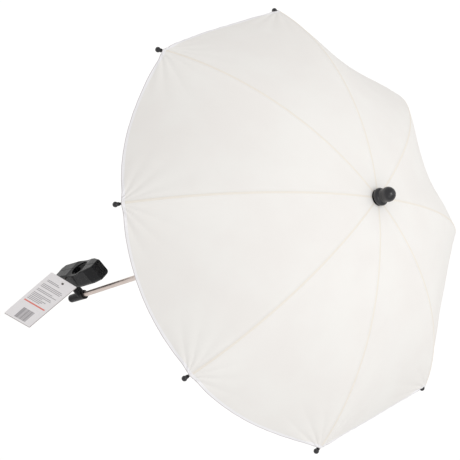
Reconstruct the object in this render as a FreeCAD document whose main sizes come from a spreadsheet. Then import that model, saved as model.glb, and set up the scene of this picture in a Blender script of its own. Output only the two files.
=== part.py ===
"""Pram parasol with a folding eight-rib canopy and a two-jaw tube clamp.

The origin is the centre of the clamp's eye. +X runs along the eye, away from the pole,
and +Z runs up the pole towards the canopy.
"""
import FreeCAD, Part
import math
import os
import re

import Sketcher
from FreeCAD import Placement, Rotation, Vector

# Driving dimensions in millimetres and degrees
DIMS = {
    # Clearances
    "seat_gap": 0.05,
    "pin_gap": 0.08,
    "slide_gap": 0.3,
    # Clamp block, seen along the eye
    "clamp_depth": 32.0,
    "clamp_half_width": 21.0,
    "clamp_top": 52.7,
    "clamp_top_half": 10.5,
    "clamp_top_shoulder": 31.7,
    "clamp_top_shoulder_half": 18.0,
    "clamp_low": 67.7,
    "clamp_low_half": 9.4,
    "clamp_low_shoulder": 62.0,
    "clamp_low_shoulder_half": 18.0,
    "clamp_waist": 8.0,
    "clamp_bend": 120.0,
    "clamp_corner": 6.0,
    "clamp_rim": 3.0,
    "clamp_keel": 8.0,
    "clamp_lean_angle": 7.0,
    "split_gap": 0.8,
    "dish_radius": 90.0,
    "dish_depth": 3.0,
    # Eye for the pram tube and its rubber pads
    "tube_radius": 14.0,
    "pad_wall": 2.5,
    "pad_angle": 116.0,
    "pad_side": 2.0,
    # Hand screw, nut, knob and guide rods
    "screw_radius": 3.0,
    "screw_drop": 56.0,
    "knob_radius": 8.5,
    "knob_length": 9.0,
    "knob_flutes_count": 8,
    "knob_flute": 2.2,
    "knob_flute_out": 1.0,
    "knob_stand": 19.0,
    "nut_radius": 5.6,
    "nut_height": 5.0,
    "nut_stand": 5.0,
    "screw_reach": 17.0,
    "clip_radius": 5.2,
    "clip_wall": 1.0,
    "clip_recess": 2.4,
    "guide_radius": 2.2,
    "guide_drop": 23.5,
    "guide_side": 9.0,
    "guide_root": 13.0,
    # Swivel between the clamp and the pole socket
    "pole_back": 36.0,
    "pole_side": 10.0,
    "neck_drop": 39.0,
    "stub_radius": 4.0,
    "stub_reach": 15.0,
    "neck_radius": 7.4,
    "neck_flare": 7.6,
    "pocket_radius": 7.0,
    "washer_radius": 6.2,
    "washer_wall": 1.5,
    "swivel_shank": 1.8,
    "swivel_grip": 10.0,
    "swivel_head": 4.2,
    "swivel_head_height": 2.6,
    "cap_wall": 2.0,
    # Pole socket
    "socket_above": 8.0,
    "socket_length": 42.0,
    "socket_foot_radius": 7.0,
    "socket_mouth_radius": 8.1,
    "socket_round": 4.5,
    "socket_floor": 6.0,
    "socket_pin_radius": 1.2,
    "socket_pin_drop": 14.0,
    # Pole
    "pole_radius": 4.5,
    "pole_wall": 0.8,
    # Dome of the ribs
    "rib_count": 8,
    "tip_radius": 350.0,
    "tip_rise": 551.0,
    "dome_height": 178.0,
    # Ribs and their ball tips
    "rib_width": 3.2,
    "rib_height": 3.0,
    "rib_wall": 0.6,
    "tongue_width": 1.8,
    "tongue_reach": 9.0,
    "eye_radius": 2.2,
    "ball_radius": 4.2,
    "stem_radius": 2.9,
    "stem_reach": 6.0,
    "rib_end_gap": 1.5,
    # Hinges of the ribs and stretchers
    "hinge_radius": 9.0,
    "wire_radius": 0.6,
    "joint_arc": 190.0,
    "cheek_wall": 0.8,
    "cheek_reach": 10.0,
    "cheek_radius": 1.7,
    "fork_root": 4.0,
    "rivet_radius": 1.0,
    "rivet_head": 1.5,
    "rivet_head_wall": 0.6,
    # Crown on the pole's top and runner below it
    "crown_radius": 12.5,
    "crown_core": 6.5,
    "crown_slot": 2.4,
    "flange_near": 1.5,
    "flange_far": 6.0,
    "crown_sleeve": 16.0,
    "runner_sleeve": 30.0,
    "runner_grip_radius": 8.5,
    "runner_grip": 6.0,
    # Runner catch in the pole
    "catch_width": 1.8,
    "catch_length": 18.0,
    "catch_rise": 3.1,
    "catch_root": 1.0,
    "catch_angle": 22.5,
    # Canopy
    "cloth": 0.8,
    "cloth_lift": 0.3,
    "cloth_hole": 10.5,
    "hem_back": 12.7,
    "hem_drop": 16.8,
    "hem_radius": 325.8,
    "draw_power": 0.6,
    # Finial and the washer under it
    "finial_ball": 11.4,
    "finial_rise": 15.3,
    "bead_radius": 13.6,
    "bead_round": 5.0,
    "finial_collar": 10.2,
    "finial_bore": 14.0,
    "top_washer_radius": 12.4,
    "top_washer_wall": 0.8,
    # Hang tag and the pin that it swings on
    "tag_width": 57.0,
    "tag_length": 131.0,
    "tag_wall": 0.6,
    "tag_hole": 1.3,
    "tag_hole_drop": 9.0,
    "tag_hole_side": 3.4,
    "tag_forward": 11.4,
    "tag_stand": 35.0,
    "tag_drop": 19.1,
    "tag_turn": 21.3,
    "tag_lift": 30.0,
    "tag_lean": -1.7,
    "tag_pin_radius": 1.0,
    "tag_pin_head": 2.0,
    "tag_pin_head_wall": 0.7,
    "tag_pin_front": 5.0,
    "tag_pin_reach": 17.4,
    "tag_pin_turn_angle": -8.8,
    "tag_pin_drop_angle": 21.4,
}

doc = FreeCAD.newDocument("pram_parasol")
sheet = doc.addObject("Spreadsheet::Sheet", "dims")
for row, (alias, number) in enumerate(DIMS.items(), start=1):
    sheet.set(f"A{row}", alias)
    sheet.set(f"B{row}", str(number))
    sheet.setAlias(f"B{row}", alias)
doc.recompute()


def dim(alias):
    """Return one driving dimension as the sheet holds it."""
    return float(sheet.get(alias))


def bound(text):
    """Return a formula of dimension names as an expression on the sheet."""
    return re.sub(r"[a-z_]+", lambda word: f"dims.{word[0]}" if word[0] in DIMS else word[0], text)


def sized(kind, name, place=None, **formulas):
    """Add a primitive whose sizes follow the sheet, at the given placement."""
    item = doc.addObject(kind, name)
    for prop, formula in formulas.items():
        item.setExpression(prop, bound(formula))
    item.Placement = place or Placement()
    return item


def fused(name, pieces):
    """Join pieces that touch into one solid."""
    item = doc.addObject("Part::MultiFuse", name)
    item.Shapes = pieces
    item.Refine = True
    return item


def cut(name, base, tools):
    """Take one or more tools away from a base."""
    item = doc.addObject("Part::Cut", name)
    item.Base = base
    item.Tool = tools[0] if len(tools) == 1 else fused(name + "_tools", tools)
    return item


def outline(sketch, corners):
    """Draw a closed outline whose corners are pairs of formulas on the sheet."""
    count = len(corners)
    for i in range(count):
        ends = [2 * math.pi * (i + j) / count for j in (0, 1)]
        sketch.addGeometry(Part.LineSegment(*[Vector(math.cos(a), math.sin(a), 0) for a in ends]))
    for i, corner in enumerate(corners):
        sketch.addConstraint(Sketcher.Constraint("Coincident", i, 2, (i + 1) % count, 1))
        for kind, formula in zip(("DistanceX", "DistanceY"), corner):
            index = sketch.addConstraint(Sketcher.Constraint(kind, -1, 1, i, 1, 1.0))
            sketch.setExpression(f"Constraints[{index}]", bound(formula))


def body_with(name, plane, corners):
    """Start a body with one outline on one of its own origin planes."""
    body = doc.addObject("PartDesign::Body", name)
    sketch = body.newObject("Sketcher::SketchObject", name + "_outline")
    origin = [item for item in body.Origin.OriginFeatures if item.Role == plane]
    sketch.AttachmentSupport = [(origin[0], "")]
    sketch.MapMode = "FlatFace"
    outline(sketch, corners)
    return body, sketch


def turned(name, corners):
    """Revolve an outline of radius and height pairs about Z."""
    body, sketch = body_with(name, "XZ_Plane", corners)
    feature = body.newObject("PartDesign::Revolution", name + "_turn")
    feature.Profile = sketch
    feature.ReferenceAxis = (sketch, ["V_Axis"])
    feature.Angle = 360
    return body


def padded(name, plane, corners, length):
    """Pad an outline evenly to both sides of its plane."""
    body, sketch = body_with(name, plane, corners)
    feature = body.newObject("PartDesign::Pad", name + "_pad")
    feature.Profile = sketch
    feature.Midplane = True
    feature.setExpression("Length", bound(length))
    return body


def rounded(body, name, radius, chosen):
    """Fillet the edges of a body that a test on their middle point picks out."""
    doc.recompute()
    base = body.Tip
    edges = []
    for number, edge in enumerate(base.Shape.Edges, start=1):
        middle = edge.valueAt((edge.FirstParameter + edge.LastParameter) / 2)
        if chosen(middle, edge):
            edges.append(f"Edge{number}")
    fillet = body.newObject("PartDesign::Fillet", name)
    fillet.Base = (base, edges)
    fillet.setExpression("Radius", bound(radius))
    return fillet


def at(x=0.0, y=0.0, z=0.0, turn=None):
    """Return a placement from a position and an optional rotation."""
    return Placement(Vector(x, y, z), turn or Rotation())


ALONG_X = Rotation(Vector(0, 1, 0), 90)
ALONG_Y = Rotation(Vector(1, 0, 0), -90)
UPRIGHT = Rotation(Vector(1, 0, 0), 90)
QUARTER_TURN = 90
nodes = []


def keep(item, label, place=None):
    """Name a finished sub-part and set it in its place."""
    item.Label = label
    if place is not None:
        item.Placement = place
    nodes.append(item)


# Places that several pieces share
half_depth = dim("clamp_depth") / 2
half_split = dim("split_gap") / 2
clamp_frame = at(turn=Rotation(Vector(1, 0, 0), -dim("clamp_lean_angle")))
swivel = clamp_frame.multVec(Vector(-half_depth, dim("pole_side"), -dim("neck_drop")))
neck_z = swivel.z
pole_frame = at(-dim("pole_back"), swivel.y, 0)
dome = (dim("tip_radius") ** 2 + dim("dome_height") ** 2) / (2 * dim("dome_height"))
tip_z = neck_z + dim("tip_rise")
centre_z = tip_z + dim("dome_height") - dome
tip_angle = math.asin(dim("tip_radius") / dome)
hinge_angle = math.asin(dim("hinge_radius") / dome)
joint_angle = hinge_angle + dim("joint_arc") / dome
rib_end_angle = tip_angle - dim("rib_end_gap") / dome
crown_z = centre_z + dome * math.cos(hinge_angle)
joint_r = dome * math.sin(joint_angle)
joint_z = centre_z + dome * math.cos(joint_angle)
runner_z = 2 * joint_z - crown_z
stretcher_length = math.hypot(joint_r - dim("hinge_radius"), joint_z - runner_z)
stretcher_slope = math.degrees(math.atan2(joint_z - runner_z, joint_r - dim("hinge_radius")))
pole_foot_z = neck_z + dim("socket_above") - dim("socket_length") + dim("socket_floor")
catch_z = runner_z - dim("flange_near") - dim("runner_sleeve") - dim("slide_gap")


# Clamp jaws, drawn upright and then leant with the clamp's frame
def clamped(item, label):
    """Keep a sub-part that leans with the clamp."""
    keep(item, label, clamp_frame * item.Placement)


def jaw_block(name, side):
    """Build one half of the clamp block; side is 1 for the fixed jaw, -1 for the moving one."""
    sign = "" if side > 0 else "-"
    corners = [
        (f"{sign}split_gap / 2", "-clamp_low"),
        (f"{sign}clamp_low_half", "-clamp_low"),
        (f"{sign}clamp_low_shoulder_half", "-clamp_low_shoulder"),
        (f"{sign}clamp_half_width", "-clamp_waist"),
        (f"{sign}clamp_top_shoulder_half", "clamp_top_shoulder"),
        (f"{sign}clamp_top_half", "clamp_top"),
        (f"{sign}split_gap / 2", "clamp_top"),
    ]
    body = padded(name, "YZ_Plane", corners, "clamp_depth")

    def outer(point):
        return abs(point.y) > half_split + 1e-3

    def corner(point, name):
        return abs(point.x) < 1e-3 and outer(point) and abs(point.z + dim(name)) < 1e-3

    def waist(point, edge):
        return corner(point, "clamp_waist")

    def low(point, edge):
        return corner(point, "clamp_low_shoulder")

    def keel(point, edge):
        return point.x < -half_depth + 1e-3 and outer(point)

    def rim(point, edge):
        return point.x > half_depth - 1e-3 and outer(point)

    rounded(body, name + "_waist", "clamp_bend", waist)
    rounded(body, name + "_low", "clamp_corner", low)
    rounded(body, name + "_keel", "clamp_keel", keel)
    rounded(body, name + "_rim", "clamp_rim", rim)
    return body


def across(name, radius, length, x, y, z):
    """Add a cylinder that runs along +Y from the given point."""
    return sized("Part::Cylinder", name, at(x, y, z, ALONG_Y), Radius=radius, Height=length)


def along(name, radius, length, x, y, z):
    """Add a cylinder that runs along +X from the given point."""
    return sized("Part::Cylinder", name, at(x, y, z, ALONG_X), Radius=radius, Height=length)


def eye_bore(name):
    """Add the bore that the pads line."""
    return along(name, "tube_radius + pad_wall", "clamp_depth + 2", -half_depth - 1, 0, 0)


def dish(name):
    """Add the shallow hollow across the face that the tube comes out of."""
    x = half_depth + dim("dish_radius") - dim("dish_depth")
    reach = dim("clamp_half_width") + 1
    return across(name, "dish_radius", "2 * clamp_half_width + 2", x, -reach, 0)


def guide_tools(name, radius, y, length):
    """Add the pair of guide rod cylinders that start at the given Y."""
    places = [("front", dim("guide_side")), ("back", -dim("guide_side"))]
    return [across(f"{name}_{end}", radius, length, x, y, -dim("guide_drop")) for end, x in places]


screw_z = -dim("screw_drop")
stub_end_x = -half_depth + dim("stub_reach")
tag_place = Placement(
    Vector(dim("tag_forward"), dim("tag_stand"), -dim("tag_drop")),
    Rotation(Vector(0, 0, 1), dim("tag_turn"))
    * Rotation(Vector(1, 0, 0), dim("tag_lift"))
    * Rotation(Vector(0, 1, 0), dim("tag_lean")),
)
pin_bend = tag_place.multVec(Vector(0, -dim("tag_pin_front"), 0))
pin_turn = (Rotation(Vector(0, 0, 1), dim("tag_pin_turn_angle"))
            * Rotation(Vector(1, 0, 0), dim("tag_pin_drop_angle")))


def tag_pin_leg(name, radius):
    """Add the leg of the tag's bent pin that runs into the fixed jaw."""
    place = Placement(pin_bend, pin_turn) * at(0, -dim("tag_pin_reach"), 0, ALONG_Y)
    return sized("Part::Cylinder", name, place, Radius=radius, Height="tag_pin_reach")


def make_fixed_jaw():
    """Make the jaw that carries the swivel, the nut and the guide rods."""
    base = jaw_block("fixed_block", 1)
    pocket_x = stub_end_x - dim("slide_gap")
    side, height = dim("pole_side"), -dim("neck_drop")
    tools = [
        eye_bore("fixed_eye"),
        dish("fixed_dish"),
        across("fixed_screw_bore", "screw_radius + slide_gap", "clamp_half_width", 0, 0, screw_z),
        along("stub_bore", "stub_radius + pin_gap", "clamp_depth", -half_depth - 1, side, height),
        along("swivel_pocket", "pocket_radius", "clamp_depth", pocket_x, side, height),
        tag_pin_leg("tag_pin_bore", "tag_pin_radius + seat_gap"),
        nut_prism("nut_recess", "nut_radius + seat_gap", "clamp_half_width"),
    ]
    tools += guide_tools("guide_seat", "guide_radius + seat_gap", 0, "guide_root + seat_gap")
    clamped(cut("fixed_jaw", base, tools), "clamp_fixed_jaw")


def nut_prism(name, radius, length):
    """Add a hexagonal prism about the hand screw's axis."""
    place = at(0, dim("nut_stand"), screw_z, ALONG_Y)
    return sized("Part::Prism", name, place, Circumradius=radius, Height=length)


def make_moving_jaw():
    """Make the jaw that slides on the guide rods."""
    base = jaw_block("moving_block", -1)
    reach = -dim("clamp_half_width") - 1
    clip_y = -half_split - dim("clip_recess")
    tools = [
        eye_bore("moving_eye"),
        dish("moving_dish"),
        across("moving_screw_bore", "screw_radius + pin_gap", "clamp_half_width + 1", 0, reach, screw_z),
        across("clip_recess_bore", "clip_radius + slide_gap", "clip_recess + 1", 0, clip_y, screw_z),
    ]
    tools += guide_tools("guide_way", "guide_radius + pin_gap", reach, "clamp_half_width + 1")
    clamped(cut("moving_jaw", base, tools), "clamp_moving_jaw")


def make_pads():
    """Make the two rubber pads that line the eye."""
    for label, side in (("fixed_jaw_pad", 1), ("moving_jaw_pad", -1)):
        # Each pad is a sector of a tube, centred on its own jaw
        start = side * QUARTER_TURN - dim("pad_angle") / 2
        turn = ALONG_X * Rotation(Vector(0, 0, 1), start)
        place = at(-half_depth + dim("pad_side"), 0, 0, turn)
        length = "clamp_depth - 2 * pad_side - dish_depth"
        outer = sized("Part::Cylinder", label + "_outer", place, Angle="pad_angle",
                      Radius="tube_radius + pad_wall - seat_gap", Height=length)
        bore = along(label + "_bore", "tube_radius", "clamp_depth", -half_depth, 0, 0)
        clamped(cut(label, outer, [bore]), label)


def make_clamp_screw():
    """Make the hand screw, its knob, nut and clip, and the guide rods."""
    foot = -dim("knob_stand")
    clamped(across("clamp_screw_shank", "screw_radius", "knob_stand + screw_reach",
                   0, foot, screw_z), "clamp_screw")

    grip = across("knob_grip", "knob_radius", "knob_length", 0, foot - dim("knob_length"), screw_z)
    flutes = []
    ring = dim("knob_radius") + dim("knob_flute_out")
    for i in range(int(dim("knob_flutes_count"))):
        angle = 2 * math.pi * i / dim("knob_flutes_count")
        x, z = ring * math.cos(angle), screw_z + ring * math.sin(angle)
        flutes.append(across(f"knob_flute_{i}", "knob_flute", "knob_length + 2",
                             x, foot - dim("knob_length") - 1, z))
    clamped(cut("knob", grip, flutes), "clamp_knob")

    nut = nut_prism("nut_block", "nut_radius", "nut_height")
    thread = across("nut_thread", "screw_radius + pin_gap", "nut_height + 2",
                    0, dim("nut_stand") - 1, screw_z)
    clamped(cut("nut", nut, [thread]), "screw_nut")

    clip_y = -half_split - dim("clip_recess") + dim("pin_gap")
    ring = across("clip_ring", "clip_radius", "clip_wall", 0, clip_y, screw_z)
    hole = across("clip_hole", "screw_radius + seat_gap", "clip_wall + 2", 0, clip_y - 1, screw_z)
    clamped(cut("clip", ring, [hole]), "screw_clip")

    tail = -dim("clamp_low_shoulder_half")
    rods = doc.addObject("Part::Compound", "rods")
    rods.Links = guide_tools("guide_rod", "guide_radius", tail, "clamp_low_shoulder_half + guide_root")
    clamped(rods, "guide_rods")


# Swivel and pole socket
def make_socket():
    """Make the pole socket with its neck and stub in one moulding."""
    foot = "socket_above - socket_length"
    corners = [
        ("0", foot),
        ("socket_foot_radius", foot),
        ("socket_mouth_radius", "socket_above"),
        ("0", "socket_above"),
    ]
    cup = turned("socket_cup", corners)
    foot_z = dim("socket_above") - dim("socket_length")
    rounded(cup, "socket_foot", "socket_round", lambda p, e: p.z < foot_z + 1e-3 and e.Length > 1)
    cup.Placement = pole_frame * at(0, 0, neck_z)
    neck_x = -dim("pole_back")
    side = swivel.y
    neck = sized("Part::Cone", "neck", at(neck_x, side, neck_z, ALONG_X), Radius1="neck_flare",
                 Radius2="neck_radius", Height="pole_back - clamp_depth / 2 - slide_gap")
    stub = along("stub", "stub_radius", "pole_back - clamp_depth / 2 + stub_reach", neck_x, side, neck_z)
    bore = sized("Part::Cylinder", "pole_bore", pole_frame * at(0, 0, pole_foot_z),
                 Radius="pole_radius + seat_gap", Height="socket_length")
    thread = along("swivel_thread", "swivel_shank + seat_gap", "swivel_grip + 1",
                   stub_end_x - dim("swivel_grip"), side, neck_z)
    pin_hole = socket_pin_shank("socket_pin_hole", "socket_pin_radius + seat_gap")
    keep(cut("socket", fused("socket_body", [cup, neck, stub]), [bore, thread, pin_hole]), "pole_socket")


def socket_pin_shank(name, radius):
    """Add the cross pin's cylinder through the socket and the pole."""
    start = swivel.y - dim("socket_foot_radius")
    return across(name, radius, "2 * socket_foot_radius", -dim("pole_back"), start,
                  neck_z - dim("socket_pin_drop"))


def make_swivel():
    """Make the screw, washer and cap that hold the neck in the fixed jaw, and the cross pin."""
    side = swivel.y
    head_x = stub_end_x + dim("washer_wall")
    ring = along("washer_ring", "washer_radius", "washer_wall", stub_end_x, side, neck_z)
    hole = along("washer_hole", "swivel_shank + seat_gap", "washer_wall + 2", stub_end_x - 1, side, neck_z)
    keep(cut("washer", ring, [hole]), "swivel_washer")
    shank = along("swivel_shaft", "swivel_shank", "swivel_grip + washer_wall",
                  stub_end_x - dim("swivel_grip"), side, neck_z)
    head = along("swivel_top", "swivel_head", "swivel_head_height", head_x, side, neck_z)
    keep(fused("swivel", [shank, head]), "swivel_screw")
    clamped(along("cap", "pocket_radius - seat_gap", "cap_wall", half_depth - dim("cap_wall"),
                  dim("pole_side"), -dim("neck_drop")), "swivel_cap")
    keep(socket_pin_shank("cross_pin", "socket_pin_radius"), "socket_pin")


# Pole, crown, runner and catch
def catch_outline():
    """Return the corners of the runner catch, as radius and height pairs."""
    return [
        ("catch_root", "0"),
        ("pole_radius + catch_rise", "0"),
        ("pole_radius", "-catch_length"),
        ("catch_root", "-catch_length"),
    ]


def make_pole():
    """Make the pole tube with its slot for the runner catch."""
    length = pole_top_z - pole_foot_z
    tube = sized("Part::Cylinder", "tube", at(0, 0, pole_foot_z), Radius="pole_radius")
    tube.Height = length
    bore = sized("Part::Cylinder", "tube_bore", at(0, 0, pole_foot_z - 1), Radius="pole_radius - pole_wall")
    bore.Height = length + 2
    turn = Rotation(Vector(0, 0, 1), dim("catch_angle"))
    slot_foot = catch_z - dim("catch_length") - dim("slide_gap")
    slot_side = -dim("catch_width") / 2 - dim("slide_gap")
    slot = sized("Part::Box", "catch_slot", at(0, 0, slot_foot, turn) * at(0, slot_side, 0),
                 Length="2 * pole_radius", Width="catch_width + 2 * slide_gap",
                 Height="catch_length + 2 * slide_gap")
    pin_z = neck_z - dim("socket_pin_drop")
    pin_hole = across("pole_pin_hole", "socket_pin_radius + seat_gap", "4 * pole_radius",
                      0, -2 * dim("pole_radius"), pin_z)
    keep(cut("pole", tube, [bore, slot, pin_hole]), "pole_tube", pole_frame)
    catch = padded("catch_leaf", "XZ_Plane", catch_outline(), "catch_width")
    keep(catch, "catch_spring", pole_frame * at(0, 0, catch_z, turn))


def slots(name, foot, height):
    """Add the radial slots that the ribs' or stretchers' tongues swing in."""
    tools = []
    for i in range(int(dim("rib_count"))):
        turn = Rotation(Vector(0, 0, 1), 360 * i / dim("rib_count"))
        place = at(0, 0, 0, turn) * at(dim("crown_core"), -dim("crown_slot") / 2, foot)
        tools.append(sized("Part::Box", f"{name}_{i}", place, Length="crown_radius",
                           Width="crown_slot", Height=height))
    return tools


def make_crown():
    """Make the crown that the ribs hinge in, with its tie wire."""
    corners = [
        ("pole_radius + seat_gap", "-flange_far - crown_sleeve"),
        ("crown_core", "-flange_far - crown_sleeve"),
        ("crown_core", "-flange_far"),
        ("crown_radius", "-flange_far"),
        ("crown_radius", "flange_near"),
        ("pole_radius + seat_gap", "flange_near"),
    ]
    base = turned("crown_turned", corners)
    tools = slots("crown_slot", -dim("flange_far") - 1, "flange_far + flange_near + 2")
    tools.append(tie_wire("crown_groove", "wire_radius + seat_gap"))
    place = pole_frame * at(0, 0, crown_z)
    keep(cut("crown_cut", base, tools), "crown", place)
    keep(tie_wire("crown_tie", "wire_radius"), "crown_wire", place)


def tie_wire(name, radius):
    """Add the ring of wire through the tongues."""
    return sized("Part::Torus", name, Radius1="hinge_radius", Radius2=radius)


def make_runner():
    """Make the runner that the stretchers hinge in, with its tie wire."""
    foot = "-flange_near - runner_sleeve"
    bore = "pole_radius + slide_gap"
    corners = [
        (bore, foot),
        ("runner_grip_radius", foot),
        ("runner_grip_radius", foot + " + runner_grip"),
        ("crown_core + slide_gap", foot + " + 2 * runner_grip"),
        ("crown_core", "-flange_near"),
        ("crown_radius", "-flange_near"),
        ("crown_radius", "flange_far"),
        (bore, "flange_far"),
    ]
    base = turned("runner_turned", corners)
    tools = slots("runner_slot", -dim("flange_near") - 1, "flange_far + flange_near + 2")
    tools.append(tie_wire("runner_groove", "wire_radius + seat_gap"))
    place = pole_frame * at(0, 0, runner_z)
    keep(cut("runner_cut", base, tools), "runner", place)
    keep(tie_wire("runner_tie", "wire_radius"), "runner_wire", place)


# Ribs, tips, stretchers and rivets
FORK_WIDTH = "rib_width + 2 * slide_gap + 2 * cheek_wall"


def swept(name, corners, start, end):
    """Revolve a section of width and height pairs along the dome, between two angles."""
    sketch = doc.addObject("Sketcher::SketchObject", name + "_section")
    outline(sketch, corners)
    stand = Rotation(Vector(0, 1, 0), math.degrees(start)) * Rotation(Vector(0, 0, 1), 90) * UPRIGHT
    sketch.Placement = at(turn=stand) * at(0, dome, 0)
    item = doc.addObject("Part::Revolution", name)
    item.Source = sketch
    item.Axis = Vector(0, 1, 0)
    item.Base = Vector(0, 0, 0)
    item.Angle = math.degrees(end - start)
    item.Solid = True
    return item


def pin_along_y(name, radius, length, x, z):
    """Add a cylinder along Y, centred on the plane of a rib."""
    item = across(name, radius, length, x, 0, z)
    item.Placement = at(x, -item_length(length) / 2, z, ALONG_Y)
    return item


def item_length(formula):
    """Return the value of a length formula that is a sum of multiples of dimensions."""
    total = 0.0
    for term in formula.split(" + "):
        factors = term.split(" * ")
        value = 1.0
        for factor in factors:
            value *= dim(factor) if factor in DIMS else float(factor)
        total += value
    return total


def dome_point(angle):
    """Return the radius and height, from the dome's centre, of a point on a rib."""
    return dome * math.sin(angle), dome * math.cos(angle)


def rib_frame(i):
    """Return the frame of one rib, on the dome's centre."""
    turn = Rotation(Vector(0, 0, 1), 360 * i / dim("rib_count"))
    return pole_frame * at(0, 0, centre_z, turn)


def make_rib(i):
    """Make one channel rib with the tongue that hinges in the crown."""
    tag = f"rib_{i + 1}"
    half, top, wall = "rib_width / 2", "rib_height / 2", "rib_wall"
    channel = swept(tag + "_channel", [
        (f"-{half}", f"-{top}"), (f"-{half} + {wall}", f"-{top}"),
        (f"-{half} + {wall}", f"{top} - {wall}"), (f"{half} - {wall}", f"{top} - {wall}"),
        (f"{half} - {wall}", f"-{top}"), (half, f"-{top}"), (half, top), (f"-{half}", top),
    ], hinge_angle + dim("tongue_reach") / dome, rib_end_angle)
    flat = [("-tongue_width / 2", f"-{top} + {wall}"), ("tongue_width / 2", f"-{top} + {wall}"),
            ("tongue_width / 2", f"{top} - {wall} / 2"), ("-tongue_width / 2", f"{top} - {wall} / 2")]
    tongue = swept(tag + "_tongue", flat, hinge_angle, hinge_angle + 2 * dim("tongue_reach") / dome)
    hinge_x, hinge_z = dome_point(hinge_angle)
    joint_x, joint_h = dome_point(joint_angle)
    eye = pin_along_y(tag + "_eye", "eye_radius", "tongue_width", hinge_x, hinge_z)
    hole = pin_along_y(tag + "_eye_hole", "wire_radius + slide_gap", "2 * rib_width", hinge_x, hinge_z)
    rivet = pin_along_y(tag + "_rivet_hole", "rivet_radius + seat_gap", "2 * rib_width", joint_x, joint_h)
    solid = fused(tag + "_solid", [channel, tongue, eye])
    keep(cut(tag + "_cut", solid, [hole, rivet]), tag, rib_frame(i))


def make_rib_tip(i):
    """Make the ball tip that is pushed over the end of one rib."""
    tag = f"rib_tip_{i + 1}"
    ball = sized("Part::Sphere", tag + "_ball", Radius="ball_radius")
    stem = sized("Part::Cylinder", tag + "_stem", at(-dim("stem_reach"), 0, 0, ALONG_X),
                 Radius="stem_radius", Height="stem_reach")
    gap = 4 * dim("seat_gap")
    socket = sized("Part::Box", tag + "_socket",
                   at(-dim("stem_reach") - 1, -dim("rib_width") / 2 - gap, -dim("rib_height") / 2 - gap),
                   Length="stem_reach + 1 - rib_end_gap + 2 * seat_gap",
                   Width="rib_width + 8 * seat_gap", Height="rib_height + 8 * seat_gap")
    x, z = dome_point(tip_angle)
    place = rib_frame(i) * at(x, 0, z, Rotation(Vector(0, 1, 0), math.degrees(tip_angle)))
    keep(cut(tag + "_cut", fused(tag + "_solid", [ball, stem]), [socket]), tag, place)


def block(name, length, width, height, x):
    """Add a box that starts at x and is centred on the X axis."""
    place = at(x, -item_length(width) / 2, -item_length(height) / 2)
    return sized("Part::Box", name, place, Length=length, Width=width, Height=height)


def make_stretcher(i):
    """Make one stretcher, with a tongue in the runner and a fork about its rib."""
    tag = f"stretcher_{i + 1}"
    reach = dim("cheek_reach")
    bar_start = dim("tongue_reach")
    root_x = stretcher_length - reach - dim("fork_root")
    bar = sized("Part::Box", tag + "_bar", at(bar_start, -dim("rib_width") / 2, -dim("rib_height") / 2),
                Width="rib_width", Height="rib_height")
    bar.Length = root_x - bar_start
    tongue = block(tag + "_tongue", "2 * tongue_reach", "tongue_width", "rib_height", 0)
    eye = pin_along_y(tag + "_eye", "eye_radius", "tongue_width", 0, 0)
    fork = block(tag + "_fork", "fork_root + cheek_reach", FORK_WIDTH, "rib_height", root_x)
    end = pin_along_y(tag + "_end", "cheek_radius", FORK_WIDTH, stretcher_length, 0)
    solid = fused(tag + "_solid", [bar, tongue, eye, fork, end])
    gap = block(tag + "_gap", "2 * cheek_reach", "rib_width + 2 * slide_gap", "4 * rib_height",
                stretcher_length - reach)
    hole = pin_along_y(tag + "_eye_hole", "wire_radius + slide_gap", "2 * rib_width", 0, 0)
    rivet = pin_along_y(tag + "_rivet_hole", "rivet_radius + pin_gap", "4 * rib_width", stretcher_length, 0)
    lift = Rotation(Vector(0, 1, 0), -stretcher_slope)
    place = rib_frame(i) * at(dim("hinge_radius"), 0, runner_z - centre_z, lift)
    keep(cut(tag + "_cut", solid, [gap, hole, rivet]), tag, place)


def make_rivet(i):
    """Make the rivet that joins one stretcher to its rib."""
    tag = f"joint_rivet_{i + 1}"
    length = FORK_WIDTH + " + 2 * pin_gap"
    half = item_length(length) / 2
    shank = across(tag + "_shank", "rivet_radius", length, 0, -half, 0)
    heads = [across(f"{tag}_head_{end}", "rivet_head", "rivet_head_wall", 0, y, 0)
             for end, y in (("near", half), ("far", -half - dim("rivet_head_wall")))]
    x, z = dome_point(joint_angle)
    keep(fused(tag + "_solid", [shank] + heads), tag, rib_frame(i) * at(x, 0, z))


# Canopy, finial and tag
rib_top = dome + dim("rib_height") / 2
hem_angle = tip_angle - dim("hem_back") / dome
STATIONS = [0, 0.2, 0.4, 0.6, 0.8, 0.93, 1.0]


def panel_points(share, turn, radius, out=0.0):
    """Return three points of the arc across a panel, at a share of the way from the crown to the hem.

    The arc runs from rib to rib through the middle of the panel, which hangs lower and is
    drawn in towards the hem. It lies out by the given distance from a dome of the given radius.
    """
    hole = math.asin(dim("cloth_hole") / radius)
    rib_angle = hole + share * (hem_angle - hole)
    low_angle = math.acos((dome * math.cos(tip_angle) - dim("hem_drop")) / radius)
    mid_angle = hole + share * (low_angle - hole)
    draw = 1 - dim("hem_radius") / (radius * math.sin(low_angle))
    pull = 1 - draw * share ** dim("draw_power")
    half = math.pi / dim("rib_count")

    def point(angle, scale, around):
        wide = (scale * radius + out) * math.sin(angle)
        return Vector(wide * math.cos(around), wide * math.sin(around), (radius + out) * math.cos(angle))

    return [point(rib_angle, 1, turn - half), point(mid_angle, pull, turn), point(rib_angle, 1, turn + half)]


def panel_fall(share):
    """Return how far a panel falls, for each millimetre sideways, where it leaves its rib."""
    points = panel_points(share, 0, rib_top)
    arc = Part.Arc(*points)
    slope = arc.tangent(arc.FirstParameter)[0].normalize().dot(Vector(points[0]).normalize())
    return -slope / math.sqrt(1 - slope ** 2)


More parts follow.
